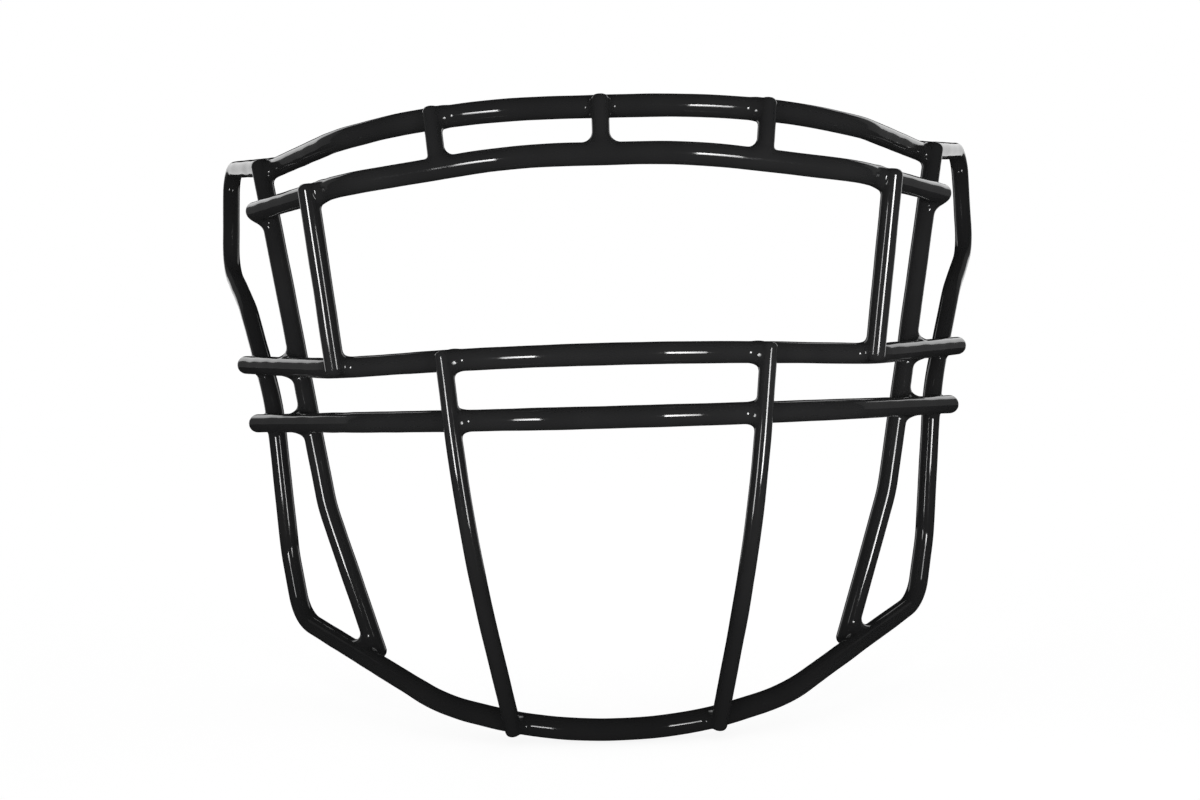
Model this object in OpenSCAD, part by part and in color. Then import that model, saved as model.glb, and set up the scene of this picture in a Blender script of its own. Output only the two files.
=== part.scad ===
// Football helmet facemask: bent steel wires, resistance-welded where they cross and
// dipped in a black polymer coat. X is to the wearer's left, seen from the front it runs
// to the right; Y runs back towards the face and Z runs up. The origin is on the axis of
// the rim wire at the middle of the forehead, where the helmet's forehead clips go.

/* [Wire] */
// Diameter of the steel in the rim, the crossbars and the cheek posts
bar_d = 5.6; // [5:0.1:6.2]
// Diameter of the steel in the two window posts
window_d = 5.2; // [4.6:0.1:6]
// Diameter of the steel in the mouth posts and the brow posts
thin_d = 4.2; // [3.6:0.1:5]
// Thickness of the polymer coat
coat_t = 0.35; // [0.2:0.05:0.5]
// Depth that two wires are pressed into each other at a weld
weld_bite = 0.5; // [0.3:0.05:0.8]
// Depth that the foot of a brow post is pressed into the bar below it
butt_bite = 1; // [0.8:0.1:1.5]
// Rounding of a cut wire end
end_round = 1.6; // [0.8:0.1:1.9]

/* [Rim over the brow] */
// Half width of the rim's gently curved middle, to its first corner
brow_mid_x = 41; // [37:0.5:44]
// Radius of the gently curved middle
brow_sweep_r = 100; // [80:1:104]
// Half width at the temple corner
temple_x = 78; // [75:0.5:81]
// How far the temple corner lies behind the middle
temple_back = 24.5; // [21:0.5:28]
// How far the temple corner lies below the middle
temple_drop = 2.5; // [1:0.1:5]
// Bend radius at the temple corner
temple_r = 42; // [25:1:45]
// Half width at the corner above the cheek post
shoulder_x = 108; // [105:0.5:111]
// How far the shoulder corner lies behind the middle
shoulder_back = 73; // [70:0.5:77]
// How far the shoulder corner lies below the middle
shoulder_drop = 1; // [0:0.1:3]
// Bend radius at the shoulder corner
shoulder_r = 14; // [10:1:30]

/* [Rim down the side] */
// Half width of the rim's rear upright at its top corner
rear_x = 142.5; // [138:0.5:147]
// How far the rear upright lies behind the middle
rear_back = 138; // [132:0.5:144]
// Height of the rear top corner above the middle
rear_rise = 10; // [6:0.5:14]
// Bend radius at the rear top corner
rear_r = 8; // [7:0.5:12]
// Half width at the foot of the rear upright
ear_x = 144; // [139:0.5:148]
// Depth of the foot of the rear upright below the middle
ear_drop = 28.5; // [25:0.5:32]
// Bend radius at the foot of the rear upright
ear_r = 16; // [12:1:22]
// Half width where the side run eases in its slope
dip_x = 130; // [126:0.5:134]
// How far that place lies behind the middle
dip_back = 110.5; // [106:0.5:115]
// How far that place lies below the middle
dip_drop = 46; // [43:0.5:50]
// Half width at the top of the cheek upright
cheek_x = 115; // [112:0.5:118]
// How far the cheek upright lies behind the middle
cheek_back = 85.5; // [82:0.5:89]
// Depth of the top of the cheek upright below the middle
cheek_drop = 81; // [78:0.5:83]
// Half width at the foot of the cheek upright
jowl_x = 111; // [108:0.5:113]
// Depth of the foot of the cheek upright below the middle
jowl_drop = 134; // [128:0.5:138]
// Bend radius of the eased corners down the side
side_r = 32; // [20:1:40]
// Half width at the jaw corner
jaw_x = 106.5; // [104:0.5:109]
// How far the jaw corner lies behind the middle
jaw_back = 81.5; // [78:0.5:85]
// Depth of the jaw corner below the middle
jaw_drop = 155.5; // [152:0.5:159]
// Bend radius at the jaw corner
jaw_r = 12.5; // [8:0.5:15]

/* [Rim under the chin] */
// Half width where the jaw run starts to curve into the chin
chin_side_x = 51; // [48:0.5:55]
// How far that corner lies behind the middle
chin_side_back = 23.5; // [21:0.5:27]
// Depth of that corner below the middle
chin_side_drop = 171.5; // [169:0.5:174]
// Bend radius at that corner
chin_side_r = 54; // [40:1:60]
// Half width of the chin's curved middle, to its corner
chin_mid_x = 19.5; // [19:0.5:22]
// Radius of the chin's curved middle
chin_sweep_r = 84; // [60:1:88]
// How far the chin lies behind the middle of the brow
chin_back = 9; // [6:0.5:12]
// Depth of the chin below the middle of the brow
chin_drop = 176; // [174:0.5:181]

/* [Brow bar] */
// Depth of the brow bar below the rim, in the middle
brow_bar_drop = 13.7; // [12.5:0.1:16]
// How far the bar's middle stands in front of the rim's middle
brow_bar_front = 3.8; // [3.2:0.1:4.6]
// Half width of the brow bar's curved middle, to its corner
brow_bar_mid_x = 24; // [21:0.5:27]
// Radius of the bar's curved middle
brow_bar_sweep_r = 110; // [90:1:125]
// Half width at the brow bar's side corner
brow_bar_side_x = 73; // [70:0.5:76]
// How far that corner lies behind the bar's middle
brow_bar_side_back = 13; // [10.5:0.5:15]
// How far that corner lies below the bar's middle
brow_bar_side_drop = 4.4; // [2:0.1:6]
// Bend radius at that corner
brow_bar_side_r = 27; // [20:1:32]
// Depth below the rim's middle where the bar crosses the cheek post
brow_bar_end_drop = 16; // [14.5:0.1:18]
// Length of the bar past the cheek post
brow_bar_tail = 1.2; // [1:0.1:6]

/* [Eye bar] */
// Depth of the eye bar below the rim, in the middle
eye_bar_drop = 68.5; // [66:0.5:70]
// How far the bar's middle stands in front of the rim's middle
eye_bar_front = 0.8; // [0:0.1:3]
// Half width of the bar's curved middle, to its corner
eye_bar_mid_x = 28.5; // [28:0.5:32]
// Half width where the bar bends towards the side of the face
eye_bar_bend_x = 83; // [81:0.5:85]
// Depth below the rim's middle where the bar meets the side of the rim
eye_bar_end_drop = 67.5; // [66:0.5:69]

/* [Nose bar] */
// Depth of the nose bar below the rim, in the middle
nose_bar_drop = 86; // [84:0.5:90]
// How far the bar's middle stands in front of the rim's middle
nose_bar_front = 2.2; // [0:0.1:3.5]
// Half width of the bar's curved middle, to its corner
nose_bar_mid_x = 28.5; // [28:0.5:32]
// Half width where the bar bends towards the side of the face
nose_bar_bend_x = 75; // [73:0.5:77]
// Depth below the rim's middle where the bar meets the side of the rim
nose_bar_end_drop = 87.5; // [85:0.5:90]

/* [Both long bars] */
// Radius of the curved middle of the eye bar and the nose bar
bar_sweep_r = 102; // [90:1:108]
// Bend radius where these bars turn to the side
bar_bend_r = 22; // [12:1:30]
// Length of these bars past the rim
bar_tail = 5.5; // [4:0.5:9]

/* [Cheek posts] */
// Half width where the post's top lies on the rim
cheek_post_top_x = 109; // [107:0.5:111]
// Half width at the post's bend
cheek_post_bend_x = 92.5; // [90:0.5:95]
// How far the bend lies behind the rim's middle
cheek_post_bend_back = 62.5; // [60:0.5:65]
// Depth of the bend below the rim's middle
cheek_post_bend_drop = 115; // [110:0.5:120]
// Bend radius of the post
cheek_post_r = 60; // [30:1:90]
// Half width where the post's foot lies behind the rim
cheek_post_foot_x = 80.5; // [78:0.5:83]

/* [Window posts] */
// Half width where the post's top lies on the brow bar
window_post_top_x = 81.5; // [79:0.5:84]
// Half width where the post's foot lies on the eye bar
window_post_foot_x = 78; // [76:0.5:81]

/* [Mouth posts] */
// Half width where the post's top lies on the eye bar
mouth_post_top_x = 44; // [42:0.5:46]
// Half width where the post lies on the nose bar
mouth_post_nose_x = 42; // [40.5:0.5:44.5]
// Depth of the post's slight bend below the rim's middle
mouth_post_bend_drop = 118; // [110:1:126]
// Bend radius of the post
mouth_post_r = 300; // [160:10:340]
// Half width where the post's foot lies on the chin
mouth_post_foot_x = 28; // [26:0.5:32]

/* [Brow posts] */
// Distance of the outer brow posts from the middle one
brow_post_x = 45.5; // [42:0.5:50]

/* [Post ends] */
// Length of a cheek post's top past the rim's axis
cheek_post_top_tail = 2.1; // [1.3:0.1:2.8]
// Length of a cheek post's foot past the rim's axis at the jaw
cheek_post_foot_tail = 2; // [0:0.1:3]
// Length of a window post's top past the brow bar's axis
window_post_top_tail = 2; // [1.6:0.1:2.8]
// Length of a window post's foot past the eye bar's axis
window_post_foot_tail = 1.4; // [1.4:0.1:2.8]
// Length of a mouth post's top past the eye bar's axis
mouth_post_top_tail = 2.4; // [2:0.1:2.8]
// Length of a mouth post's foot past the rim's axis at the chin
mouth_post_foot_tail = 1; // [0.9:0.1:2.8]
// Length of a brow post's top past the rim's axis
brow_post_top_tail = 0.9; // [0.5:0.1:3]

/* [Hidden] */
steel_colour = [0.62, 0.63, 0.65];
coat_colour = [0.10, 0.10, 0.11];
// A bend is drawn thinner than the straight wire by this much
bend_draw = 0.04;
// Length of a bend's curve inside the straight wire at each end
bend_bite = 0.4;
// Share of a straight run that its two bends may use up
bend_share = 0.96;
end_steps = 4;
round_fn = 48;
sweep_fn = 96;
// Points that stand for a bend when a place on a wire is looked up
lookup_steps = 24;

// Directions and bends

function unit(v) = v / norm(v);
function flip(p) = [-p[0], p[1], p[2]];
function turn(a, b, c) = acos(max(-1, min(1, unit(b - a) * unit(c - b))));

// A route is a list of [corner point, bend radius]; a closed one joins its last corner to its first
function corner(route, i) = route[(i + len(route)) % len(route)][0];
function is_bent(route, i, closed) = closed || (i > 0 && i < len(route) - 1);
function wish(route, i, closed) =
    let (k = (i + len(route)) % len(route))
    is_bent(route, k, closed)
        ? route[k][1] * tan(turn(corner(route, k - 1), corner(route, k), corner(route, k + 1)) / 2)
        : 0;
// Part of a bend's wished radius that its two straight runs leave room for
function room(route, i, closed) = is_bent(route, i, closed)
    ? min(1,
        bend_share * norm(corner(route, i) - corner(route, i - 1))
            / (wish(route, i - 1, closed) + wish(route, i, closed)),
        bend_share * norm(corner(route, i + 1) - corner(route, i))
            / (wish(route, i, closed) + wish(route, i + 1, closed)))
    : 0;
function bend_r(route, i, closed) = route[i][1] * room(route, i, closed);
function cut_back(route, i, closed) =
    let (k = (i + len(route)) % len(route))
    wish(route, k, closed) * room(route, k, closed);

// Points along an open route's axis
function bend_points(a, b, c, r) =
    let (
        u = unit(b - a),
        angle = turn(a, b, c),
        inward = cross(unit(cross(u, unit(c - b))), u),
        centre = b - u * r * tan(angle / 2) + inward * r
    )
    [for (k = [0 : lookup_steps])
        centre - inward * r * cos(angle * k / lookup_steps) + u * r * sin(angle * k / lookup_steps)];
function axis_line(route) = [
    for (i = [0 : len(route) - 1])
        for (p = is_bent(route, i, false)
            ? bend_points(corner(route, i - 1), corner(route, i), corner(route, i + 1), bend_r(route, i, false))
            : [corner(route, i)]) p
];
// Point and direction where an axis line first reaches a coordinate
function spot(line, k, value) =
    let (
        hits = [for (i = [0 : len(line) - 2]) if ((line[i][k] - value) * (line[i + 1][k] - value) <= 0) i],
        a = line[hits[0]],
        b = line[hits[0] + 1]
    )
    [a + (b - a) * (value - a[k]) / (b[k] - a[k]), unit(b - a)];

// Distance between the axes of two welded wires
function reach(d1, d2) = (d1 + d2) / 2 - weld_bite;
// Axis point of a wire that crosses another at a spot, on its front (side 1) or its back (side -1)
function lay(where, along, distance, side) =
    let (n = unit(cross(where[1], along)))
    where[0] + (n[1] < 0 ? n : -n) * side * distance;
// Point of a straight run at a coordinate
function run_to(p, dir, k, value) = p + dir * (value - p[k]) / dir[k];

// Rim: one closed wire

rim_brow = [0, 0, 0];
rim_right = [
    [[brow_mid_x, 0, 0], brow_sweep_r],
    [[temple_x, temple_back, -temple_drop], temple_r],
    [[shoulder_x, shoulder_back, -shoulder_drop], shoulder_r],
    [[rear_x, rear_back, rear_rise], rear_r],
    [[ear_x, rear_back, -ear_drop], ear_r],
    [[dip_x, dip_back, -dip_drop], side_r],
    [[cheek_x, cheek_back, -cheek_drop], side_r],
    [[jowl_x, cheek_back, -jowl_drop], side_r],
    [[jaw_x, jaw_back, -jaw_drop], jaw_r],
    [[chin_side_x, chin_side_back, -chin_side_drop], chin_side_r],
    [[chin_mid_x, chin_back, -chin_drop], chin_sweep_r]
];
rim_count = len(rim_right);
rim_route = concat(rim_right, [for (i = [rim_count - 1 : -1 : 0]) [flip(rim_right[i][0]), rim_right[i][1]]]);
rim_chin = [0, chin_back, -chin_drop];
brow_line = axis_line(concat([[rim_brow, 0]], [for (i = [0 : 3]) rim_right[i]], [[rim_right[4][0], 0]]));
side_line = axis_line([for (i = [3 : 8]) rim_right[i]]);
jaw_line = axis_line(concat([for (i = [7 : 10]) rim_right[i]], [[rim_chin, 0]]));

// Cheek posts: in front of the rim at the top, behind it at the jaw

bar_reach = reach(bar_d, bar_d);
thin_reach = reach(bar_d, thin_d);
window_reach = reach(bar_d, window_d);

cheek_post_bend = [cheek_post_bend_x, cheek_post_bend_back, -cheek_post_bend_drop];
cheek_top_spot = spot(brow_line, 0, cheek_post_top_x);
cheek_foot_spot = spot(jaw_line, 0, cheek_post_foot_x);
cheek_post_top = lay(cheek_top_spot, cheek_post_bend - cheek_top_spot[0], bar_reach, 1);
cheek_post_foot = lay(cheek_foot_spot, cheek_post_bend - cheek_foot_spot[0], bar_reach, -1);
cheek_post_route = [
    [cheek_post_top + unit(cheek_post_top - cheek_post_bend) * cheek_post_top_tail, 0],
    [cheek_post_bend, cheek_post_r],
    [cheek_post_foot + unit(cheek_post_foot - cheek_post_bend) * cheek_post_foot_tail, 0]
];
cheek_line = axis_line(cheek_post_route);

// Brow bar: in front of the cheek posts

brow_bar_mid = [brow_bar_mid_x, -brow_bar_front, -brow_bar_drop];
brow_bar_side = brow_bar_mid + [brow_bar_side_x - brow_bar_mid_x, brow_bar_side_back, -brow_bar_side_drop];
brow_bar_cheek_spot = spot(cheek_line, 2, -brow_bar_end_drop);
brow_bar_cheek = lay(brow_bar_cheek_spot, brow_bar_cheek_spot[0] - brow_bar_side, bar_reach, 1);
brow_bar_right = [
    [brow_bar_mid, brow_bar_sweep_r],
    [brow_bar_side, brow_bar_side_r],
    [brow_bar_cheek + unit(brow_bar_cheek - brow_bar_side) * brow_bar_tail, 0]
];

// Eye bar and nose bar: each lies on the cheek post and ends on the side of the rim

// Corner, end and side run of a long bar from where it crosses the cheek post and the rim
function long_bar(mid, bend_x, end_drop) =
    let (
        rim_spot = spot(side_line, 2, -end_drop),
        post_spot = spot(cheek_line, 2, -(end_drop - mid[2]) / 2),
        rough = rim_spot[0] - post_spot[0],
        first = lay(rim_spot, rough, bar_reach, 1) - lay(post_spot, rough, bar_reach, 1),
        on_rim = lay(rim_spot, first, bar_reach, 1),
        on_post = lay(post_spot, first, bar_reach, 1),
        dir = unit(on_rim - on_post)
    )
    [
        [mid, bar_sweep_r],
        [run_to(on_post, dir, 0, bend_x), bar_bend_r],
        [on_rim + dir * bar_tail, 0]
    ];
eye_bar_right = long_bar([eye_bar_mid_x, -eye_bar_front, -eye_bar_drop], eye_bar_bend_x, eye_bar_end_drop);
nose_bar_right = long_bar([nose_bar_mid_x, -nose_bar_front, -nose_bar_drop], nose_bar_bend_x, nose_bar_end_drop);

// A bar's whole route and its right-hand axis line, from its right-hand corners
function both_sides(right) = concat([for (i = [len(right) - 1 : -1 : 0]) [flip(right[i][0]), right[i][1]]], right);
function right_line(right) = axis_line(concat([[[0, right[0][0][1], right[0][0][2]], 0]], right));
brow_bar_line = right_line(brow_bar_right);
eye_bar_line = right_line(eye_bar_right);
nose_bar_line = right_line(nose_bar_right);

// Window posts, mouth posts and brow posts: each lies across bars

window_top_spot = spot(brow_bar_line, 0, window_post_top_x);
window_foot_spot = spot(eye_bar_line, 0, window_post_foot_x);
window_rough = window_foot_spot[0] - window_top_spot[0];
window_post_top = lay(window_top_spot, window_rough, window_reach, 1);
window_post_foot = lay(window_foot_spot, window_rough, window_reach, 1);
window_dir = unit(window_post_foot - window_post_top);
window_post_route = [
    [window_post_top - window_dir * window_post_top_tail, 0],
    [window_post_foot + window_dir * window_post_foot_tail, 0]
];

mouth_eye_spot = spot(eye_bar_line, 0, mouth_post_top_x);
mouth_nose_spot = spot(nose_bar_line, 0, mouth_post_nose_x);
mouth_chin_spot = spot(jaw_line, 0, mouth_post_foot_x);
mouth_rough = mouth_nose_spot[0] - mouth_eye_spot[0];
mouth_post_eye = lay(mouth_eye_spot, mouth_rough, thin_reach, 1);
mouth_post_nose = lay(mouth_nose_spot, mouth_rough, thin_reach, 1);
mouth_dir = unit(mouth_post_nose - mouth_post_eye);
mouth_post_bend = run_to(mouth_post_eye, mouth_dir, 2, -mouth_post_bend_drop);
mouth_post_chin = lay(mouth_chin_spot, mouth_chin_spot[0] - mouth_post_bend, thin_reach, 1);
mouth_post_route = [
    [mouth_post_eye - mouth_dir * mouth_post_top_tail, 0],
    [mouth_post_bend, mouth_post_r],
    [mouth_post_chin + unit(mouth_post_chin - mouth_post_bend) * mouth_post_foot_tail, 0]
];

// Brow post: in front of the rim, its foot butted onto the top of the brow bar
function brow_post_route(x) =
    let (
        rim_spot = spot(brow_line, 0, x),
        foot = spot(brow_bar_line, 0, x)[0],
        on_rim = lay(rim_spot, foot - rim_spot[0], thin_reach, 1),
        dir = unit(foot - on_rim)
    )
    [[on_rim - dir * brow_post_top_tail, 0], [foot - dir * (bar_d / 2 - butt_bite), 0]];

// Wires

// Straight wire from a to b, with rounded cut ends where asked
module rod(a, b, d, round_a, round_b) {
    dir = unit(b - a);
    length = norm(b - a);
    r = d / 2;
    foot = round_a
        ? [for (i = [0 : end_steps])
            [r - end_round * (1 - sin(90 * i / end_steps)), end_round * (1 - cos(90 * i / end_steps))]]
        : [[r, 0]];
    head = round_b
        ? [for (i = [0 : end_steps])
            [r - end_round * (1 - cos(90 * i / end_steps)), length - end_round * (1 - sin(90 * i / end_steps))]]
        : [[r, length]];
    translate(a)
        rotate([0, acos(dir[2]), atan2(dir[1], dir[0])])
            rotate_extrude($fn = round_fn)
                polygon(concat([[0, 0]], foot, head, [[0, length]]));
}

// Bend of radius r at corner b, between a and c
module bend(a, b, c, r, d) {
    u = unit(b - a);
    normal = unit(cross(u, unit(c - b)));
    inward = cross(normal, u);
    angle = turn(a, b, c);
    centre = b - u * r * tan(angle / 2) + inward * r;
    over = bend_bite / r * 180 / PI;
    multmatrix([
        [-inward[0], u[0], normal[0], centre[0]],
        [-inward[1], u[1], normal[1], centre[1]],
        [-inward[2], u[2], normal[2], centre[2]],
        [0, 0, 0, 1]
    ])
        rotate([0, 0, -over])
            rotate_extrude(angle = angle + 2 * over, $fn = sweep_fn)
                translate([r, 0])
                    circle(d = d - bend_draw, $fn = round_fn);
}

// Bent wire along a route, longer by extra at each open end
module wire(route, d, closed = false, extra = 0) {
    n = len(route);
    last = closed ? n - 1 : n - 2;
    for (i = [0 : last]) {
        a = corner(route, i);
        b = corner(route, i + 1);
        dir = unit(b - a);
        first_end = !closed && i == 0;
        last_end = !closed && i == n - 2;
        rod(
            a + dir * (first_end ? -extra : cut_back(route, i, closed)),
            b - dir * (last_end ? -extra : cut_back(route, i + 1, closed)),
            d, first_end, last_end
        );
    }
    for (i = [0 : n - 1])
        if (is_bent(route, i, closed))
            bend(corner(route, i - 1), corner(route, i), corner(route, i + 1), bend_r(route, i, closed), d);
}

// Steel and full coated outline of each wire
module rim_wire(d) wire(rim_route, d, closed = true);
module brow_bar_wire(d, extra = 0) wire(both_sides(brow_bar_right), d, extra = extra);
module eye_bar_wire(d, extra = 0) wire(both_sides(eye_bar_right), d, extra = extra);
module nose_bar_wire(d, extra = 0) wire(both_sides(nose_bar_right), d, extra = extra);
module cheek_post_wire(d, extra = 0) wire(cheek_post_route, d, extra = extra);
module window_post_wire(d, extra = 0) wire(window_post_route, d, extra = extra);
module mouth_post_wire(d, extra = 0) wire(mouth_post_route, d, extra = extra);
module brow_post_wire(x, d, extra = 0) wire(brow_post_route(x), d, extra = extra);
module both() {
    children();
    mirror([1, 0, 0]) children();
}

// Steel pieces

module rim() color(steel_colour) rim_wire(bar_d);
module brow_bar() color(steel_colour) brow_bar_wire(bar_d);
module eye_bar() color(steel_colour) eye_bar_wire(bar_d);
module nose_bar() color(steel_colour) nose_bar_wire(bar_d);
module cheek_post() color(steel_colour) cheek_post_wire(bar_d);
module window_post() color(steel_colour) window_post_wire(window_d);
module mouth_post() color(steel_colour) mouth_post_wire(thin_d);
module brow_post(x) color(steel_colour) brow_post_wire(x, thin_d);

// Coat: one sleeve for each wire, open where another wire is welded on

coated_bar_d = bar_d + 2 * coat_t;
coated_window_d = window_d + 2 * coat_t;
coated_thin_d = thin_d + 2 * coat_t;

module rim_coat() color(coat_colour) difference() {
    rim_wire(coated_bar_d);
    rim_wire(bar_d);
    eye_bar_wire(bar_d);
    nose_bar_wire(bar_d);
    both() {
        cheek_post_wire(bar_d);
        mouth_post_wire(thin_d);
        brow_post_wire(brow_post_x, thin_d);
    }
    brow_post_wire(0, thin_d);
}

module brow_bar_coat() color(coat_colour) difference() {
    brow_bar_wire(coated_bar_d, coat_t);
    brow_bar_wire(bar_d);
    both() {
        cheek_post_wire(bar_d);
        window_post_wire(window_d);
        brow_post_wire(brow_post_x, thin_d);
    }
    brow_post_wire(0, thin_d);
}

module eye_bar_coat() color(coat_colour) difference() {
    eye_bar_wire(coated_bar_d, coat_t);
    eye_bar_wire(bar_d);
    rim_wire(coated_bar_d);
    both() {
        cheek_post_wire(bar_d);
        window_post_wire(window_d);
        mouth_post_wire(thin_d);
    }
}

module nose_bar_coat() color(coat_colour) difference() {
    nose_bar_wire(coated_bar_d, coat_t);
    nose_bar_wire(bar_d);
    rim_wire(coated_bar_d);
    both() {
        cheek_post_wire(bar_d);
        mouth_post_wire(thin_d);
    }
}

module cheek_post_coat() color(coat_colour) difference() {
    cheek_post_wire(coated_bar_d, coat_t);
    cheek_post_wire(bar_d);
    rim_wire(coated_bar_d);
    brow_bar_wire(coated_bar_d, coat_t);
    eye_bar_wire(coated_bar_d, coat_t);
    nose_bar_wire(coated_bar_d, coat_t);
}

module window_post_coat() color(coat_colour) difference() {
    window_post_wire(coated_window_d, coat_t);
    window_post_wire(window_d);
    brow_bar_wire(coated_bar_d, coat_t);
    eye_bar_wire(coated_bar_d, coat_t);
}

module mouth_post_coat() color(coat_colour) difference() {
    mouth_post_wire(coated_thin_d, coat_t);
    mouth_post_wire(thin_d);
    rim_wire(coated_bar_d);
    eye_bar_wire(coated_bar_d, coat_t);
    nose_bar_wire(coated_bar_d, coat_t);
}

module brow_post_coat(x) color(coat_colour) difference() {
    brow_post_wire(x, coated_thin_d, coat_t);
    brow_post_wire(x, thin_d);
    rim_wire(coated_bar_d);
    brow_bar_wire(coated_bar_d, coat_t);
}

module left() mirror([1, 0, 0]) children();

rim();
brow_bar();
eye_bar();
nose_bar();
cheek_post();  // cheek_post_right
left() cheek_post();  // cheek_post_left
window_post();  // window_post_right
left() window_post();  // window_post_left
mouth_post();  // mouth_post_right
left() mouth_post();  // mouth_post_left
brow_post(brow_post_x);  // brow_post_right
brow_post(0);  // brow_post_centre
left() brow_post(brow_post_x);  // brow_post_left
rim_coat();
brow_bar_coat();
eye_bar_coat();
nose_bar_coat();
cheek_post_coat();  // cheek_post_coat_right
left() cheek_post_coat();  // cheek_post_coat_left
window_post_coat();  // window_post_coat_right
left() window_post_coat();  // window_post_coat_left
mouth_post_coat();  // mouth_post_coat_right
left() mouth_post_coat();  // mouth_post_coat_left
brow_post_coat(brow_post_x);  // brow_post_coat_right
brow_post_coat(0);  // brow_post_coat_centre
left() brow_post_coat(brow_post_x);  // brow_post_coat_left
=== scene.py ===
import math

import bpy
import numpy as np
from mathutils import Matrix, Vector


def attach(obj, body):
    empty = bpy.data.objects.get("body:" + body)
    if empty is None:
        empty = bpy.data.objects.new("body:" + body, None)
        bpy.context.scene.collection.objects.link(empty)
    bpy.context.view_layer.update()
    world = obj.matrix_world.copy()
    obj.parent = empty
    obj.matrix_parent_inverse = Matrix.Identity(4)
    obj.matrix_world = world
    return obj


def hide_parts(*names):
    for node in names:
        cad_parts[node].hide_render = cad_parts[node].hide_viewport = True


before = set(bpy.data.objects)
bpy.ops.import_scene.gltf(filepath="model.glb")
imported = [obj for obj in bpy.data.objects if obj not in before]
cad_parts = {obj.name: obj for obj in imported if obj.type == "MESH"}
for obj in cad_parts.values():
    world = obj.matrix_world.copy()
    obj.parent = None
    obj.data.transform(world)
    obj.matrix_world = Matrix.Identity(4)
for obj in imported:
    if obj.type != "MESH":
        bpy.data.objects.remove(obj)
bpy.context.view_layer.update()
scene = bpy.context.scene
mm = 0.001

# Wires: the same centre lines as the part's source, in millimetres

wireSizes = {
    "bar": 5.6,
    "window": 5.2,
    "thin": 4.2,
    "coat": 0.35,
    "weldBite": 0.5,
    "buttBite": 1.0,
    "bendShare": 0.96,
    "bendSteps": 24,
}
# Rounding of the coat at a cut end
endRound = {"bar": 2.35, "window": 2.0, "thin": 1.6}
# Lengths of post ends past the axis of the wire they lie on
tails = {
    "cheekTop": 2.1, "cheekFoot": 2.0, "windowTop": 2.0, "windowFoot": 1.4,
    "mouthTop": 2.4, "mouthFoot": 1.0, "browTop": 0.9,
}
# Corners of the rim from the brow to the chin: half width, distance back, height, bend radius
rimCorners = [
    (41, 0, 0, 100),
    (78, 24.5, -2.5, 42),
    (108, 73, -1, 14),
    (142.5, 138, 10, 8),
    (144, 138, -28.5, 16),
    (130, 110.5, -46, 32),
    (115, 85.5, -81, 32),
    (111, 85.5, -134, 32),
    (106.5, 81.5, -155.5, 12.5),
    (51, 23.5, -171.5, 54),
    (19.5, 9, -176, 84),
]
browBar = {
    "drop": 13.7, "front": 3.8, "midX": 24, "sweepR": 110, "sideX": 73, "sideBack": 13,
    "sideDrop": 4.4, "sideR": 27, "endDrop": 16, "tail": 1.2,
}
eyeBar = {"drop": 68.5, "back": -0.8, "midX": 28.5, "bendX": 83, "endDrop": 67.5}
noseBar = {"drop": 86, "back": -2.2, "midX": 28.5, "bendX": 75, "endDrop": 87.5}
longBars = {"sweepR": 102, "bendR": 22, "tail": 5.5}
cheekPost = {"topX": 109, "bendX": 92.5, "bendBack": 62.5, "bendDrop": 115, "bendR": 60, "footX": 80.5}
windowPost = {"topX": 81.5, "footX": 78}
mouthPost = {"topX": 44, "noseX": 42, "bendDrop": 118, "bendR": 300, "footX": 28}
browPostX = 45.5


def vec(*values):
    return np.array(values, float)


def unit(v):
    return v / math.sqrt(float(v @ v))


def turnAt(a, b, c):
    return math.acos(max(-1.0, min(1.0, float(unit(b - a) @ unit(c - b)))))


# Straight and curved pieces of a route, as ("line", a, b, first end, last end)
# or ("arc", centre, direction to the start, direction along, radius, angle)
def routePieces(route, closed=False):
    count = len(route)
    points = [np.array(p, float) for p, r in route]

    def bent(i):
        return closed or 0 < i < count - 1

    def wished(i):
        return route[i][1] * math.tan(turnAt(points[i - 1], points[i], points[(i + 1) % count]) / 2)

    wish = [wished(i) if bent(i) else 0.0 for i in range(count)]
    cut, radius = [0.0] * count, [0.0] * count
    for i in range(count):
        if not bent(i):
            continue
        j = (i + 1) % count
        before = np.linalg.norm(points[i] - points[i - 1])
        after = np.linalg.norm(points[j] - points[i])
        share = wireSizes["bendShare"]
        room = min(1, share * before / (wish[i - 1] + wish[i]), share * after / (wish[i] + wish[j]))
        cut[i] = wish[i] * room
        radius[i] = route[i][1] * room
    pieces = []
    for i in range(count if closed else count - 1):
        j = (i + 1) % count
        a, b = points[i], points[j]
        along = unit(b - a)
        firstEnd, lastEnd = not closed and i == 0, not closed and i == count - 2
        pieces.append(("line", a + along * cut[i], b - along * cut[j], firstEnd, lastEnd))
        if bent(j):
            c = points[(j + 1) % count]
            inward = np.cross(unit(np.cross(along, unit(c - b))), along)
            start = b - along * cut[j]
            pieces.append(("arc", start + inward * radius[j], -inward, along, radius[j], turnAt(a, b, c)))
    return pieces


# Points along an open route's axis
def axisLine(route):
    steps = wireSizes["bendSteps"]
    out = []
    for piece in routePieces(route):
        if piece[0] == "line":
            out += [piece[1], piece[2]]
        else:
            kind, centre, start, along, r, angle = piece
            t = [angle * k / steps for k in range(1, steps)]
            out += [centre + r * (start * math.cos(q) + along * math.sin(q)) for q in t]
    return np.array(out)


# Place and direction where an axis line first reaches a coordinate
def spot(line, axis, value):
    sides = (line[:-1, axis] - value) * (line[1:, axis] - value)
    i = int(np.argmax(sides <= 0))
    a, b = line[i], line[i + 1]
    return a + (b - a) * (value - a[axis]) / (b[axis] - a[axis]), unit(b - a)


# Distance between the axes of two welded wires
def reach(first, second):
    return (wireSizes[first] + wireSizes[second]) / 2 - wireSizes["weldBite"]


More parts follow.
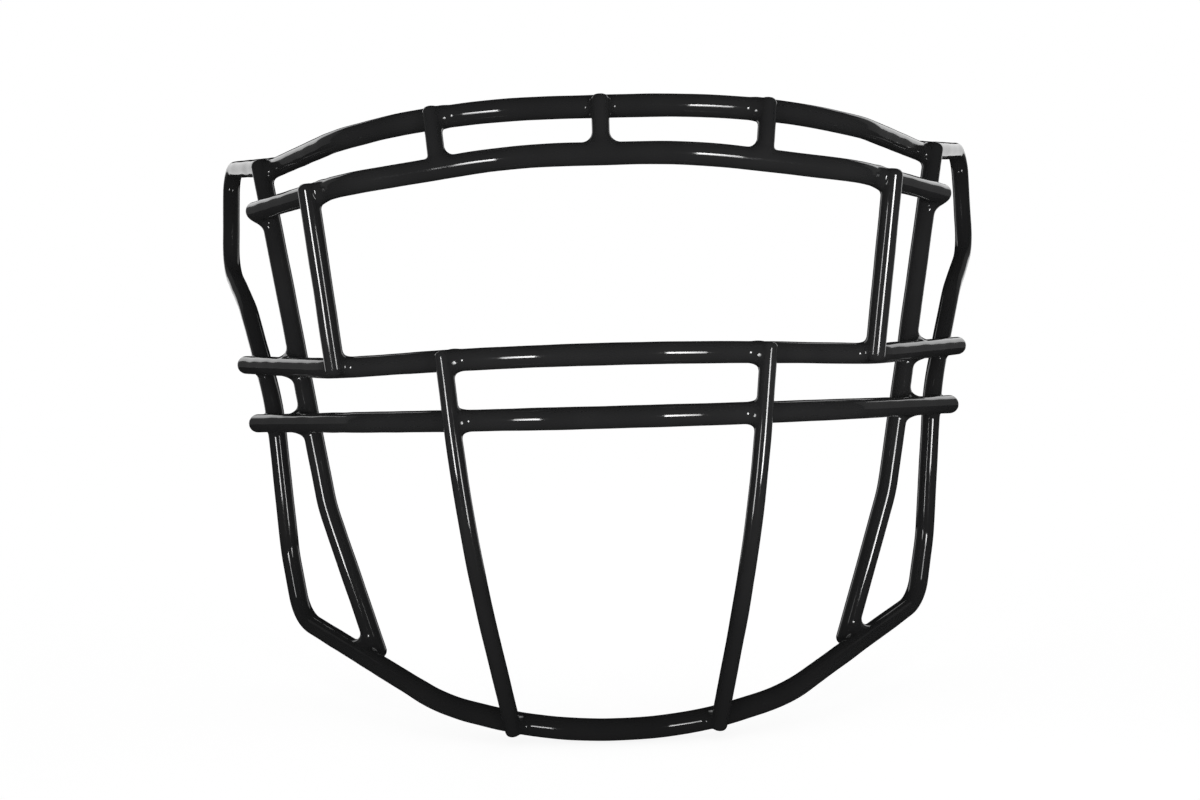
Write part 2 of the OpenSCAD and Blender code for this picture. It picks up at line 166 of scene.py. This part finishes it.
# Axis point of a wire that crosses another at a spot, on its front (side 1) or its back (side -1)
def lay(where, along, distance, side):
    n = unit(np.cross(where[1], along))
    return where[0] + (n if n[1] < 0 else -n) * side * distance


# Point of a straight run at a coordinate
def runTo(p, along, axis, value):
    return p + along * (value - p[axis]) / along[axis]


def flipped(route):
    return [(p * vec(-1, 1, 1), r) for p, r in route]


rimRight = [(vec(x, y, z), r) for x, y, z, r in rimCorners]
rimRoute = rimRight + flipped(rimRight)[::-1]
browLine = axisLine([(vec(0, 0, 0), 0)] + rimRight[:4] + [(vec(rimRight[4][0][0], 0, 0), 0)])
sideLine = axisLine(rimRight[3:9])
jawLine = axisLine(rimRight[7:11] + [(rimRight[10][0] * vec(0, 1, 1), 0)])

barReach, thinReach, windowReach = reach("bar", "bar"), reach("bar", "thin"), reach("bar", "window")

cheekBend = vec(cheekPost["bendX"], cheekPost["bendBack"], -cheekPost["bendDrop"])
topSpot, footSpot = spot(browLine, 0, cheekPost["topX"]), spot(jawLine, 0, cheekPost["footX"])
cheekTop = lay(topSpot, cheekBend - topSpot[0], barReach, 1)
cheekFoot = lay(footSpot, cheekBend - footSpot[0], barReach, -1)
cheekRoute = [
    (cheekTop + unit(cheekTop - cheekBend) * tails["cheekTop"], 0),
    (cheekBend, cheekPost["bendR"]),
    (cheekFoot + unit(cheekFoot - cheekBend) * tails["cheekFoot"], 0),
]
cheekLine = axisLine(cheekRoute)

browMid = vec(browBar["midX"], -browBar["front"], -browBar["drop"])
browSide = browMid + vec(browBar["sideX"] - browBar["midX"], browBar["sideBack"], -browBar["sideDrop"])
browCheekSpot = spot(cheekLine, 2, -browBar["endDrop"])
browCheek = lay(browCheekSpot, browCheekSpot[0] - browSide, barReach, 1)
browRight = [
    (browMid, browBar["sweepR"]),
    (browSide, browBar["sideR"]),
    (browCheek + unit(browCheek - browSide) * browBar["tail"], 0),
]


def longBar(bar):
    mid = vec(bar["midX"], bar["back"], -bar["drop"])
    onSide = spot(sideLine, 2, -bar["endDrop"])
    onPost = spot(cheekLine, 2, -(bar["endDrop"] + bar["drop"]) / 2)
    rough = onSide[0] - onPost[0]
    first = lay(onSide, rough, barReach, 1) - lay(onPost, rough, barReach, 1)
    rimPoint, postPoint = lay(onSide, first, barReach, 1), lay(onPost, first, barReach, 1)
    along = unit(rimPoint - postPoint)
    return [
        (mid, longBars["sweepR"]),
        (runTo(postPoint, along, 0, bar["bendX"]), longBars["bendR"]),
        (rimPoint + along * longBars["tail"], 0),
    ]


eyeRight, noseRight = longBar(eyeBar), longBar(noseBar)


def bothSides(right):
    return flipped(right)[::-1] + right


def rightLine(right):
    return axisLine([(right[0][0] * vec(0, 1, 1), 0)] + right)


browBarLine, eyeLine, noseLine = rightLine(browRight), rightLine(eyeRight), rightLine(noseRight)

winTop, winFoot = spot(browBarLine, 0, windowPost["topX"]), spot(eyeLine, 0, windowPost["footX"])
rough = winFoot[0] - winTop[0]
winTopPoint, winFootPoint = lay(winTop, rough, windowReach, 1), lay(winFoot, rough, windowReach, 1)
winDir = unit(winFootPoint - winTopPoint)
windowRoute = [
    (winTopPoint - winDir * tails["windowTop"], 0),
    (winFootPoint + winDir * tails["windowFoot"], 0),
]

eyeSpot, noseSpot = spot(eyeLine, 0, mouthPost["topX"]), spot(noseLine, 0, mouthPost["noseX"])
chinSpot = spot(jawLine, 0, mouthPost["footX"])
rough = noseSpot[0] - eyeSpot[0]
mouthEye, mouthNose = lay(eyeSpot, rough, thinReach, 1), lay(noseSpot, rough, thinReach, 1)
mouthDir = unit(mouthNose - mouthEye)
mouthBend = runTo(mouthEye, mouthDir, 2, -mouthPost["bendDrop"])
mouthChin = lay(chinSpot, chinSpot[0] - mouthBend, thinReach, 1)
mouthRoute = [
    (mouthEye - mouthDir * tails["mouthTop"], 0),
    (mouthBend, mouthPost["bendR"]),
    (mouthChin + unit(mouthChin - mouthBend) * tails["mouthFoot"], 0),
]


def browPost(x):
    rimSpot = spot(browLine, 0, x)
    foot = spot(browBarLine, 0, x)[0]
    onRim = lay(rimSpot, foot - rimSpot[0], thinReach, 1)
    along = unit(foot - onRim)
    footUp = wireSizes["bar"] / 2 - wireSizes["buttBite"]
    return [(onRim - along * tails["browTop"], 0), (foot - along * footUp, 0)]


browPostRight, browPostCentre = browPost(browPostX), browPost(0)

# Each wire: its route, coated radius and whether it closes on itself
wires = [(rimRoute, "bar", True)]
wires += [(bothSides(r), "bar", False) for r in (browRight, eyeRight, noseRight)]
sidePosts = ((cheekRoute, "bar"), (windowRoute, "window"), (mouthRoute, "thin"), (browPostRight, "thin"))
for route, size in sidePosts:
    wires += [(route, size, False), (flipped(route), size, False)]
wires.append((browPostCentre, "thin", False))

# Coat: one skin over all the wires, with a fillet of coat in every weld

coatSkin = {
    "voxel": 0.55,
    "quickVoxels": 2.0,
    "tubeSides": 20,
    "tubeFirstSide": (0.31, 0.52, 0.79),
    "tubeOverlap": 0.25,
    "tubeStep": 1.0,
    "relaxRounds": 3,
    "relaxShare": 0.5,
    "settleRounds": 2,
    "longestMove": 0.8,
    "leastSlope": 0.2,
    "slopeStep": 0.03,
    "boxRoom": 3.2,
    "boxSteps": 8,
    "nearby": 7.0,
    "farAway": 9.0,
    "gatherLength": 3.0,
    "unevenness": 0.045,
    "waves": 7,
    "waveLength": (9.0, 26.0),
    "seed": 7,
}
# Fillets of coat at each kind of weld on the right: the direction in which the coat gathers,
# the fillet on that side and the fillet on the other side
fillets = {
    "cheekTop": ((-1, 0, -1), 3.2, 1.0),
    "cheekFoot": ((1, 0, 1), 3.6, 0.8),
    "browBarEnd": ((1, 0, -1), 4.4, 1.0),
    "barOnRim": ((-1, 0, 0), 3.8, 1.4),
    "barOnCheekPost": ((1, 0, 0), 3.8, 1.2),
    "windowTop": ((-1, 0, 0), 3.6, 0.7),
    "windowFoot": ((-1, 0, 0.6), 3.2, 0.7),
    "mouthTop": ((-1, 0, 0), 3.6, 0.7),
    "mouthMiddle": ((-1, 0, 0), 3.2, 1.0),
    "mouthFoot": ((-1, 0, 0.5), 3.0, 0.7),
    "browPostTop": ((-1, 0, 0), 3.6, 0.7),
    "browPostFoot": ((-1, 0, 0), 3.2, 1.0),
    "centrePostTop": ((0, 0, -1), 2.6, 1.4),
    "centrePostFoot": ((0, -1, 0), 3.0, 2.8),
}
# All the welds, right and left: place, direction and the two fillets
welds = []


def weld(name, place):
    gather, big, small = fillets[name]
    for side in (1, -1):
        m = vec(side, 1, 1)
        welds.append((place * m, unit(vec(*gather) * m), big, small))


up, front = vec(0, 0, 1), vec(0, -1, 0)
weld("cheekTop", (cheekTop + topSpot[0]) / 2)
weld("cheekFoot", (cheekFoot + footSpot[0]) / 2)
weld("browBarEnd", (browCheek + browCheekSpot[0]) / 2)
for bar in (eyeBar, noseBar):
    sideSpot = spot(sideLine, 2, -bar["endDrop"])[0]
    postSpot = spot(cheekLine, 2, -(bar["endDrop"] + bar["drop"]) / 2)[0]
    weld("barOnRim", sideSpot + front * barReach / 2)
    weld("barOnCheekPost", postSpot + front * barReach / 2)
weld("windowTop", (winTopPoint + winTop[0]) / 2)
weld("windowFoot", (winFootPoint + winFoot[0]) / 2)
weld("mouthTop", (mouthEye + eyeSpot[0]) / 2)
weld("mouthMiddle", (mouthNose + noseSpot[0]) / 2)
weld("mouthFoot", (mouthChin + chinSpot[0]) / 2)
for x, post in ((0, "centrePost"), (browPostX, "browPost")):
    rimSpot, foot = spot(browLine, 0, x)[0], spot(browBarLine, 0, x)[0]
    weld(post + "Top", rimSpot + front * thinReach / 2)
    weld(post + "Foot", foot + up * wireSizes["bar"] / 2)

rng = np.random.default_rng(coatSkin["seed"])
waveDirs = rng.normal(size=(coatSkin["waves"], 3))
waveDirs /= np.linalg.norm(waveDirs, axis=1)[:, None]
waveDirs *= (2 * math.pi / rng.uniform(*coatSkin["waveLength"], size=coatSkin["waves"]))[:, None]
wavePhases = rng.uniform(0, 2 * math.pi, size=coatSkin["waves"])


def unevenness(points):
    return np.sin(points @ waveDirs.T + wavePhases).mean(axis=1) * coatSkin["unevenness"] * 2


# Distance of points from the coat's surface, with each point tied to its nearest weld once
class CoatField:
    def __init__(self, points):
        margin = coatSkin["nearby"]
        self.parts = []
        self.count = len(points)
        for number, (route, size, closed) in enumerate(wires):
            radius = wireSizes[size] / 2 + wireSizes["coat"]
            for piece in routePieces(route, closed):
                low, high = pieceBox(piece)
                near = np.all((points > low - margin) & (points < high + margin), axis=1)
                self.parts.append((number, radius, endRound[size], piece, np.nonzero(near)[0]))
        places = np.array([w[0] for w in welds])
        best = np.full(len(points), np.inf)
        nearest = np.zeros(len(points), int)
        for k, place in enumerate(places):
            d = ((points - place) ** 2).sum(axis=1)
            closer = d < best
            best[closer] = d[closer]
            nearest[closer] = k
        self.places = places[nearest]
        self.gather = np.array([w[1] for w in welds])[nearest]
        self.big = np.array([w[2] for w in welds])[nearest]
        self.small = np.array([w[3] for w in welds])[nearest]

    def value(self, points):
        found = np.full((len(wires), self.count), coatSkin["farAway"])
        for number, radius, rounding, piece, near in self.parts:
            d = pieceDistance(piece, points[near], radius, rounding)
            found[number, near] = np.minimum(found[number, near], d)
        two = np.partition(found, 1, axis=0)[:2]
        a, b = two[0], two[1]
        lean = ((points - self.places) * self.gather).sum(axis=1) / coatSkin["gatherLength"]
        t = np.clip(lean * 0.5 + 0.5, 0, 1)
        k = self.small + (self.big - self.small) * t * t * (3 - 2 * t)
        joined = np.maximum(k, a) - np.hypot(np.maximum(k - a, 0), np.maximum(k - b, 0))
        return joined - unevenness(points)

    def slope(self, points):
        step = coatSkin["slopeStep"]
        total = np.zeros_like(points)
        for corner in ((1, -1, -1), (-1, -1, 1), (-1, 1, -1), (1, 1, 1)):
            c = vec(*corner)
            total += self.value(points + c * step)[:, None] * c
        return total / (4 * step)


# Box round a wire piece, with room for the thickest coated wire
def pieceBox(piece):
    room = coatSkin["boxRoom"]
    if piece[0] == "line":
        ends = np.array([piece[1], piece[2]])
    else:
        kind, centre, start, along, r, angle = piece
        t = np.linspace(0, angle, coatSkin["boxSteps"] + 1)[:, None]
        ends = centre + r * (start * np.cos(t) + along * np.sin(t))
    return ends.min(axis=0) - room, ends.max(axis=0) + room


# Distance from a wire piece's coated surface, with the cut ends rounded
def pieceDistance(piece, points, radius, rounding):
    if piece[0] == "line":
        kind, a, b, firstEnd, lastEnd = piece
        length = np.linalg.norm(b - a)
        along = (b - a) / length
        t = (points - a) @ along
        held = np.clip(t, -np.inf if firstEnd else 0, np.inf if lastEnd else length)
        rho = np.linalg.norm(points - a - held[:, None] * along, axis=1)
        if not (firstEnd or lastEnd):
            return rho - radius
        past = np.full(len(t), -np.inf)
        if firstEnd:
            past = np.maximum(past, -t - wireSizes["coat"])
        if lastEnd:
            past = np.maximum(past, t - length - wireSizes["coat"])
        q1, q2 = rho - radius + rounding, past + rounding
        return np.minimum(np.maximum(q1, q2), 0) + np.hypot(np.maximum(q1, 0), np.maximum(q2, 0)) - rounding
    kind, centre, start, along, r, angle = piece
    q = points - centre
    theta = np.arctan2(q @ along, q @ start)
    theta = np.clip(theta, 0, angle)
    nearest = r * (np.cos(theta)[:, None] * start + np.sin(theta)[:, None] * along)
    return np.linalg.norm(q - nearest, axis=1) - radius


# Closed tube round one wire piece, a little longer than the piece at both ends
def pieceTube(piece, radius):
    over, sides = coatSkin["tubeOverlap"], coatSkin["tubeSides"]
    if piece[0] == "line":
        kind, a, b, firstEnd, lastEnd = piece
        along = unit(b - a)
        axis = np.array([a - along * over, b + along * over])
        tangents = np.array([along, along])
        sideways = unit(np.cross(along, vec(*coatSkin["tubeFirstSide"])))
    else:
        kind, centre, start, along, r, angle = piece
        steps = max(2, int(angle * r / coatSkin["tubeStep"]))
        t = np.linspace(-over / r, angle + over / r, steps + 1)[:, None]
        axis = centre + r * (start * np.cos(t) + along * np.sin(t))
        tangents = along * np.cos(t) - start * np.sin(t)
        sideways = unit(np.cross(start, along))
    verts, faces = [], []
    for p, u in zip(axis, np.cross(tangents, sideways)):
        for k in range(sides):
            q = 2 * math.pi * k / sides
            verts.append(p + radius * (sideways * math.cos(q) + u * math.sin(q)))
    for i in range(len(axis) - 1):
        for k in range(sides):
            j = (k + 1) % sides
            faces.append((i * sides + k, i * sides + j, (i + 1) * sides + j, (i + 1) * sides + k))
    faces.append(tuple(range(sides - 1, -1, -1)))
    last = (len(axis) - 1) * sides
    faces.append(tuple(range(last, last + sides)))
    return verts, faces


# All the tubes joined into one even mesh
def roughUnion():
    verts, faces = [], []
    for route, size, closed in wires:
        for piece in routePieces(route, closed):
            v, f = pieceTube(piece, wireSizes[size] / 2 + wireSizes["coat"])
            base = len(verts)
            verts += v
            faces += [tuple(base + i for i in face) for face in f]
    mesh = bpy.data.meshes.new("roughCoat")
    mesh.from_pydata([tuple(v) for v in verts], [], faces)
    mesh.update()
    obj = bpy.data.objects.new("roughCoat", mesh)
    scene.collection.objects.link(obj)
    remesh = obj.modifiers.new("voxels", "REMESH")
    remesh.mode = "VOXEL"
    remesh.voxel_size = coatSkin["voxel"] * 1.0
    remesh.adaptivity = 0
    bpy.context.view_layer.update()
    shaped = obj.evaluated_get(bpy.context.evaluated_depsgraph_get())
    out = bpy.data.meshes.new_from_object(shaped)
    bpy.data.objects.remove(obj)
    bpy.data.meshes.remove(mesh)
    return out


# The joined mesh, evened out and settled onto the coat's surface
def coatMesh():
    mesh = roughUnion()
    points = np.empty(len(mesh.vertices) * 3)
    mesh.vertices.foreach_get("co", points)
    points = points.reshape(-1, 3)
    edges = np.empty(len(mesh.edges) * 2, dtype=np.int64)
    mesh.edges.foreach_get("vertices", edges)
    edges = edges.reshape(-1, 2)
    count = np.bincount(edges.ravel(), minlength=len(points))[:, None]
    field = CoatField(points)
    normals = None
    for turn in range(coatSkin["relaxRounds"] + 1):
        if turn:
            total = np.zeros_like(points)
            for k in range(3):
                total[:, k] = np.bincount(edges[:, 0], points[edges[:, 1], k], len(points))
                total[:, k] += np.bincount(edges[:, 1], points[edges[:, 0], k], len(points))
            shift = total / count - points
            shift -= (shift * normals).sum(axis=1)[:, None] * normals
            points = points + shift * coatSkin["relaxShare"]
        for again in range(coatSkin["settleRounds"]):
            slope = field.slope(points)
            size2 = np.maximum((slope ** 2).sum(axis=1), coatSkin["leastSlope"])
            most = coatSkin["longestMove"]
            move = np.clip(field.value(points) / size2, -most, most)
            points = points - slope * move[:, None]
        slope = field.slope(points)
        normals = slope / np.linalg.norm(slope, axis=1)[:, None]
    print("coat skin:", len(points), "points, off by", float(np.abs(field.value(points)).max()))
    mesh.vertices.foreach_set("co", (points * mm).ravel())
    mesh.polygons.foreach_set("use_smooth", np.ones(len(mesh.polygons), dtype=bool))
    mesh.update()
    mesh.normals_split_custom_set_from_vertices([tuple(n) for n in normals])
    mesh.name = "coatSkin"
    return mesh


skin = bpy.data.objects.new("coatSkin", coatMesh())
scene.collection.objects.link(skin)

# Materials


class Socket:
    def __init__(self, tree, output):
        self.tree = tree
        self.output = output

    def math(self, operation, first, second=None):
        node = self.tree.nodes.new("ShaderNodeMath")
        node.operation = operation
        for place, value in enumerate((first, second)):
            if value is not None:
                connect(self.tree, value, node.inputs[place])
        return Socket(self.tree, node.outputs[0])

    def __add__(self, other):
        return self.math("ADD", self, other)

    def __radd__(self, other):
        return self.math("ADD", other, self)

    def __mul__(self, other):
        return self.math("MULTIPLY", self, other)

    def __rmul__(self, other):
        return self.math("MULTIPLY", other, self)


def connect(tree, value, target):
    if isinstance(value, Socket):
        tree.links.new(value.output, target)
    else:
        target.default_value = value


class Finish:
    def __init__(self, name):
        self.material = bpy.data.materials.new(name)
        self.material.use_nodes = True
        self.tree = self.material.node_tree
        self.tree.nodes.clear()
        self.place = self.node("ShaderNodeTexCoord", {}, {}, "Object")

    def node(self, kind, settings, inputs, out=0):
        made = self.tree.nodes.new(kind)
        for key, value in settings.items():
            setattr(made, key, value)
        for key, value in inputs.items():
            connect(self.tree, value, made.inputs[key])
        return Socket(self.tree, made.outputs[out]) if made.outputs else None

    def noise(self, size, detail=2.0, roughness=0.5):
        values = {"Vector": self.place, "Scale": 1 / size, "Detail": detail, "Roughness": roughness}
        return self.node("ShaderNodeTexNoise", {}, values, "Fac")

    def ramp(self, value, low, high):
        values = {"Value": value, "From Min": low, "From Max": high}
        return self.node("ShaderNodeMapRange", {"interpolation_type": "SMOOTHSTEP", "clamp": True}, values)

    def blend(self, amount, first, second):
        made = self.tree.nodes.new("ShaderNodeMix")
        made.data_type = "RGBA"
        for number, value in ((0, amount), (6, first), (7, second)):
            connect(self.tree, value, made.inputs[number])
        return Socket(self.tree, made.outputs[2])

    def surface(self, inputs, bumpHeight, bumpDepth):
        bump = {"Strength": 1.0, "Distance": bumpDepth, "Height": bumpHeight}
        inputs["Normal"] = self.node("ShaderNodeBump", {}, bump)
        shader = self.node("ShaderNodeBsdfPrincipled", {}, inputs)
        self.node("ShaderNodeOutputMaterial", {}, {"Surface": shader})
        return self.material


# Sizes in metres. A range is the part of a noise that becomes 0 to 1.
coatLook = {
    "colour": (0.0185, 0.0185, 0.0190, 1),
    "worn": (0.0220, 0.0220, 0.0225, 1),
    "ior": 1.45,
    "gloss": (0.05, 0.09),
    "cloudSize": 0.022,
    "cloudDetail": 3.0,
    "wearRange": (0.35, 0.7),
    "grainSize": 0.0009,
    "grainDetail": 3.0,
    "grainRoughness": 0.6,
    "grainShare": 0.4,
    "dullRange": (0.35, 0.65),
    "dustSize": 0.0004,
    "dustRange": (0.74, 0.8),
    "dustShare": 0.2,
    "dustDull": 0.12,
    "peelSize": 0.0028,
    "peelDepth": 0.0000025,
}


def coatFinish():
    f = Finish("glossyCoat")
    broad = f.noise(coatLook["cloudSize"], coatLook["cloudDetail"])
    fine = f.noise(coatLook["grainSize"], coatLook["grainDetail"], coatLook["grainRoughness"])
    dust = f.ramp(f.noise(coatLook["dustSize"], 1.0), *coatLook["dustRange"])
    dustShare, grainShare = coatLook["dustShare"], coatLook["grainShare"]
    wear = f.ramp(broad, *coatLook["wearRange"]) * (1 - dustShare) + dust * dustShare
    colour = f.blend(wear, coatLook["colour"], coatLook["worn"])
    low, high = coatLook["gloss"]
    dull = f.ramp(broad * (1 - grainShare) + fine * grainShare, *coatLook["dullRange"])
    roughness = low + (high - low) * dull + dust * coatLook["dustDull"]
    peel = f.noise(coatLook["peelSize"], 1.0)
    inputs = {"Base Color": colour, "Roughness": roughness, "IOR": coatLook["ior"]}
    return f.surface(inputs, peel, coatLook["peelDepth"])


steelLook = {
    "colour": (0.52, 0.53, 0.55, 1),
    "dark": (0.34, 0.33, 0.32, 1),
    "gloss": (0.28, 0.45),
    "glossRange": (0.3, 0.7),
    "cloudSize": 0.012,
    "cloudDetail": 3.0,
    "darkRange": (0.3, 0.7),
    "grainSize": 0.0007,
    "grainDetail": 4.0,
    "grainRoughness": 0.65,
    "grainShare": 0.4,
    "grainDepth": 0.00001,
}


def steelFinish():
    f = Finish("drawnWire")
    broad = f.noise(steelLook["cloudSize"], steelLook["cloudDetail"])
    fine = f.noise(steelLook["grainSize"], steelLook["grainDetail"], steelLook["grainRoughness"])
    grainShare = steelLook["grainShare"]
    patches = f.ramp(broad * (1 - grainShare) + fine * grainShare, *steelLook["darkRange"])
    colour = f.blend(patches, steelLook["colour"], steelLook["dark"])
    low, high = steelLook["gloss"]
    roughness = low + (high - low) * f.ramp(fine, *steelLook["glossRange"])
    inputs = {"Base Color": colour, "Metallic": 1.0, "Roughness": roughness}
    return f.surface(inputs, fine, steelLook["grainDepth"])


skin.data.materials.clear()
skin.data.materials.append(coatFinish())
coatNodes = [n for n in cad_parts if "_coat" in n]
steelNodes = [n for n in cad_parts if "_coat" not in n]
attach(skin, "root")
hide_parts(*coatNodes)
steel = steelFinish()
for name in steelNodes:
    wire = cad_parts[name]
    wire.data.materials.clear()
    wire.data.materials.append(steel)
print("pieces:", len(coatNodes), "coat nodes under one skin,", len(steelNodes), "steel nodes")

# Stage: pale floor, white surroundings, two soft boxes beside the camera

stage = {
    "floorZ": -0.1795,
    "floorSize": 6.0,
    "floorColour": 0.86,
    "fill": 0.3,
    "shadowShare": 0.50,
    "white": (1, 1, 1, 1),
    "surroundColour": (0.02, 0.02, 0.02, 1),
    "surroundRadius": 1.2,
    "surroundHeight": -0.01,
    "surroundCells": (90, 45),
    "surroundOffFloor": 0.0002,
    # Glowing panels in the surround, seen only in reflections: painted bright reflections, not lamps
    "panels": [
        {"name": "paintedBrightReflection", "from": 28, "to": 48, "low": -20, "high": 40, "strength": 1.4},
        {"name": "paintedGreyReflection", "from": 48, "to": 76, "low": -20, "high": 36, "strength": 0.12},
    ],
}


def plane(name, corners):
    mesh = bpy.data.meshes.new(name)
    mesh.from_pydata(corners, [], [(0, 1, 2, 3)])
    mesh.update()
    obj = bpy.data.objects.new(name, mesh)
    scene.collection.objects.link(obj)
    return obj


# White for the rays that show the surroundings, a plain fill level for the rest
def surroundings(tree):
    path = tree.nodes.new("ShaderNodeLightPath")
    seen = Socket(tree, path.outputs["Is Camera Ray"])
    for name in ("Is Glossy Ray", "Is Transmission Ray"):
        seen = seen.math("MAXIMUM", seen, Socket(tree, path.outputs[name]))
    return seen * (1 - stage["fill"]) + stage["fill"]


half = stage["floorSize"] / 2
z = stage["floorZ"]
floor = plane("floor", [(-half, -half, z), (half, -half, z), (half, half, z), (-half, half, z)])
f = Finish("paleFloor")
# The floor glows with what its matt share doesn't give back, so it is white but for shadows
matt = stage["shadowShare"] * stage["floorColour"]
diffuse = f.node("ShaderNodeBsdfDiffuse", {}, {"Color": (matt, matt, matt, 1)})
glowLevel = surroundings(f.tree) * (1 - matt * stage["fill"])
glow = f.node("ShaderNodeEmission", {}, {"Color": stage["white"], "Strength": glowLevel})
shader = f.node("ShaderNodeAddShader", {}, {0: diffuse, 1: glow})
f.node("ShaderNodeOutputMaterial", {}, {"Surface": shader})
floor.data.materials.append(f.material)

world = bpy.data.worlds.new("studio")
scene.world = world
world.use_nodes = True
tree = world.node_tree
tree.nodes.clear()
background = tree.nodes.new("ShaderNodeBackground")
background.inputs["Color"].default_value = stage["white"]
connect(tree, surroundings(tree), background.inputs["Strength"])
output = tree.nodes.new("ShaderNodeOutputWorld")
tree.links.new(background.outputs[0], output.inputs["Surface"])


# Dark surround that only reflections see, with glowing panels in it behind and beside the object: the
# surround paints dark reflections on the coat, and the panels, which are no lamps, paint bright reflections
def surroundMesh():
    across, upward = stage["surroundCells"]
    r = stage["surroundRadius"]
    verts, faces, slots = [], [], []
    for j in range(upward + 1):
        high = math.radians(-90 + 180 * j / upward)
        for i in range(across):
            q = 2 * math.pi * i / across
            level = max(r * math.sin(high) + stage["surroundHeight"], z + stage["surroundOffFloor"])
            verts.append((r * math.sin(q) * math.cos(high), r * math.cos(q) * math.cos(high), level))
    # Each cell's place in degrees: up from level, and to either side from straight behind
    for j in range(upward):
        high = -90 + 180 * (j + 0.5) / upward
        for i in range(across):
            turned = abs((360 * (i + 0.5) / across + 180) % 360 - 180)
            k = (i + 1) % across
            faces.append((j * across + i, j * across + k, (j + 1) * across + k, (j + 1) * across + i))
            hit = [p["from"] < turned < p["to"] and p["low"] < high < p["high"] for p in stage["panels"]]
            slots.append(hit.index(True) + 1 if any(hit) else 0)
    mesh = bpy.data.meshes.new("surround")
    mesh.from_pydata(verts, [], faces)
    mesh.update()
    mesh.polygons.foreach_set("material_index", slots)
    return mesh


surround = bpy.data.objects.new("surround", surroundMesh())
scene.collection.objects.link(surround)
# Dark finish of the surround: painted dark reflection
f = Finish("paintedDarkReflection")
shader = f.node("ShaderNodeBsdfDiffuse", {}, {"Color": stage["surroundColour"]})
f.node("ShaderNodeOutputMaterial", {}, {"Surface": shader})
surround.data.materials.append(f.material)
# Each panel glows white: a painted reflection on the coat
for panel in stage["panels"]:
    f = Finish(panel["name"])
    shader = f.node("ShaderNodeEmission", {}, {"Color": stage["white"], "Strength": panel["strength"]})
    f.node("ShaderNodeOutputMaterial", {}, {"Surface": shader})
    surround.data.materials.append(f.material)
surround.visible_camera = False
surround.visible_shadow = False
surround.visible_diffuse = False

softBoxes = {
    "spread": 40,
    "left": {
        "at": (-0.237, -0.364, -0.088),
        "toward": (-0.066, 0.02, -0.06),
        "size": (0.098, 0.12),
        "radiance": 40,
    },
    "right": {
        "at": (0.223, -0.369, -0.088),
        "toward": (0.066, 0.02, -0.06),
        "size": (0.118, 0.12),
        "radiance": 44,
    },
}
# Straight ahead a narrow spread makes a lamp brighter by this much
halfSpread = math.radians(softBoxes["spread"]) / 2
spreadGain = math.tan(halfSpread) / (math.tan(halfSpread) - halfSpread)
for name in ("left", "right"):
    box = softBoxes[name]
    lamp = bpy.data.lights.new(name + "Box", "AREA")
    lamp.shape = "RECTANGLE"
    lamp.size, lamp.size_y = box["size"]
    lamp.spread = halfSpread * 2
    lamp.energy = box["radiance"] * math.pi * lamp.size * lamp.size_y / spreadGain
    obj = bpy.data.objects.new(name + "Box", lamp)
    obj.location = box["at"]
    toward = Vector(box["toward"]) - obj.location
    obj.rotation_euler = toward.to_track_quat("-Z", "Y").to_euler()
    obj.visible_camera = False
    scene.collection.objects.link(obj)

# Camera: the photograph's place and angle

# Place in millimetres, turns in degrees, focal length in pixels of the photograph
cameraSet = {
    "at": (-5.04, -332.4, -74.75),
    "yaw": -0.49,
    "pitch": -1.11,
    "roll": -1.57,
    "focal": 1196,
    "photoWidth": 1200,
    "sensor": 36,
    "clipStart": 0.01,
}


def placeCamera(c):
    yaw, pitch, roll = (math.radians(c[k]) for k in ("yaw", "pitch", "roll"))
    forward = vec(-math.sin(yaw) * math.cos(pitch), math.cos(yaw) * math.cos(pitch), math.sin(pitch))
    right = unit(np.cross(forward, vec(0, 0, 1)))
    up = np.cross(right, forward)
    turnedRight = right * math.cos(roll) + up * math.sin(roll)
    turnedUp = -right * math.sin(roll) + up * math.cos(roll)
    data = bpy.data.cameras.new("camera")
    data.sensor_width = c["sensor"]
    data.lens = c["sensor"] * c["focal"] / c["photoWidth"]
    data.clip_start = c["clipStart"]
    obj = bpy.data.objects.new("camera", data)
    columns = [turnedRight, turnedUp, -forward]
    matrix = Matrix([[columns[j][i] for j in range(3)] for i in range(3)]).to_4x4()
    matrix.translation = Vector([v * mm for v in c["at"]])
    obj.matrix_world = matrix
    scene.collection.objects.link(obj)
    scene.camera = obj


placeCamera(cameraSet)
scene.view_settings.view_transform = "Standard"
print("stage, lights and camera set")

bpy.context.view_layer.update()
